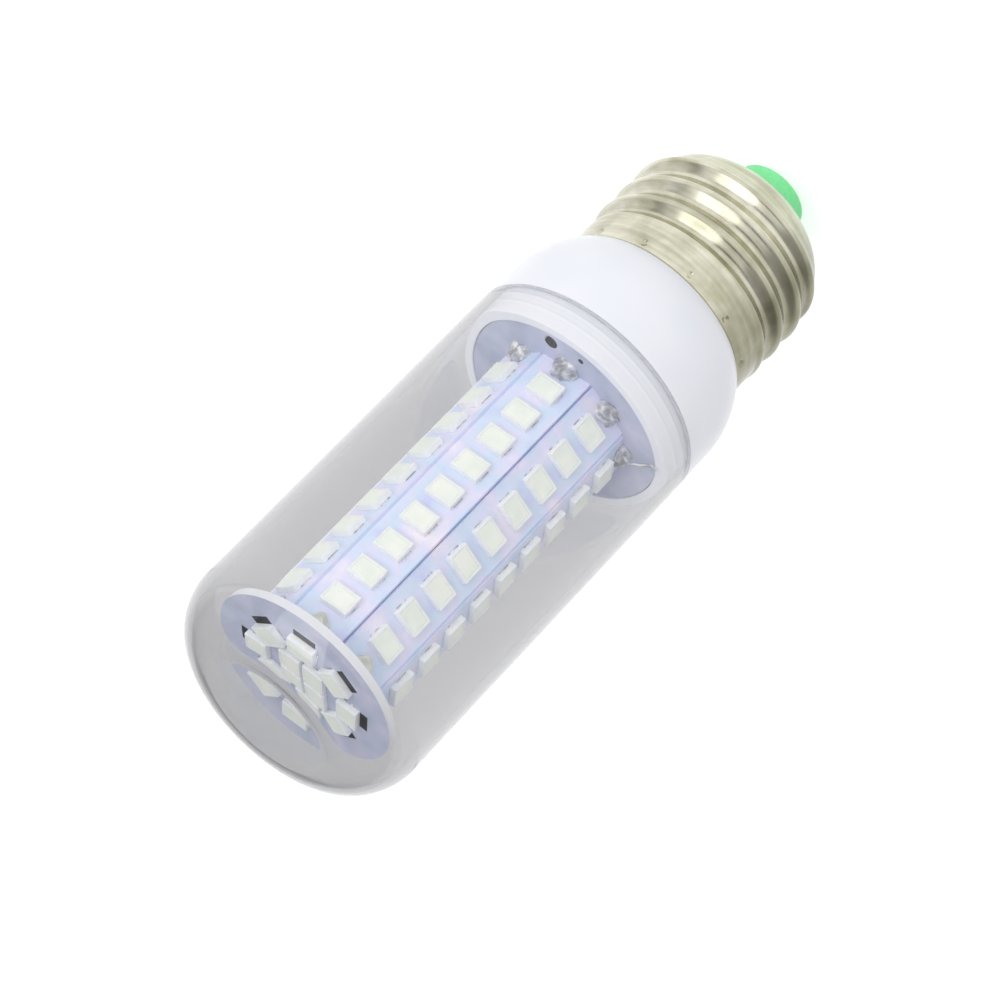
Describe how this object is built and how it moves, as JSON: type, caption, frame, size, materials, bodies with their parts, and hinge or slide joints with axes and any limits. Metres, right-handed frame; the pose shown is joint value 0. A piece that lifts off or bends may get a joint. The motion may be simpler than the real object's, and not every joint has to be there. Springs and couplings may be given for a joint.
{
  "type": "corn led bulb",
  "caption": "Screw-cap LED lamp: a clear tubular cover over a ring of LED strips on a white collar, with the driver inside the cap.",
  "frame": {"origin": "centre of the flat tip of the centre contact", "axes": "+Z along the lamp's axis from the cap to the clear end, +X through the middle of one LED strip"},
  "size_m": [0.031, 0.031, 0.095],
  "materials": {
    "nickel_shell": "bright nickel plating on formed sheet",
    "contact_metal": "plated rivet",
    "green_plastic": "moulded, slightly translucent",
    "white_plastic": "moulded, glossy",
    "clear_plastic": "clear polycarbonate, polished",
    "white_board": "white solder mask",
    "led_package": "moulded white package",
    "phosphor": "silicone with phosphor",
    "solder": "tin solder",
    "green_board": "laminate",
    "capacitor_case": "dipped film capacitor",
    "capacitor_can": "sleeved can",
    "moulded_epoxy": "moulded epoxy",
    "resistor_body": "coated ceramic",
    "live_insulation": "wire insulation",
    "neutral_insulation": "wire insulation",
    "tinned_wire": "tinned copper"
  },
  "bodies": {
    "root": {"base_board": "white_board", "base_joints": "solder", "bleed_resistor": "resistor_body", "bridge_rectifier": "moulded_epoxy", "centre_contact": "contact_metal", "clear_cover": "clear_plastic", "collar": "white_plastic", "driver_board": "green_board", "end_board": "white_board", "end_joints": "solder", "end_leds": "led_package", "end_phosphor": "phosphor", "film_capacitor": "capacitor_case", "fuse_resistor": "resistor_body", "lead_joints": "solder", "led_strip_1": "white_board", "led_strip_2": "white_board", "led_strip_3": "white_board", "led_strip_4": "white_board", "led_strip_5": "white_board", "led_strip_6": "white_board", "led_strip_7": "white_board", "led_strip_8": "white_board", "live_wire": "live_insulation", "negative_lead": "tinned_wire", "neutral_wire": "neutral_insulation", "positive_lead": "tinned_wire", "screw_shell": "nickel_shell", "smoothing_capacitor": "capacitor_can", "strip_leds_1": "led_package", "strip_leds_2": "led_package", "strip_leds_3": "led_package", "strip_leds_4": "led_package", "strip_leds_5": "led_package", "strip_leds_6": "led_package", "strip_leds_7": "led_package", "strip_leds_8": "led_package", "strip_phosphor_1": "phosphor", "strip_phosphor_2": "phosphor", "strip_phosphor_3": "phosphor", "strip_phosphor_4": "phosphor", "strip_phosphor_5": "phosphor", "strip_phosphor_6": "phosphor", "strip_phosphor_7": "phosphor", "strip_phosphor_8": "phosphor", "tip_insulator": "green_plastic"}
  },
  "joints": []
}
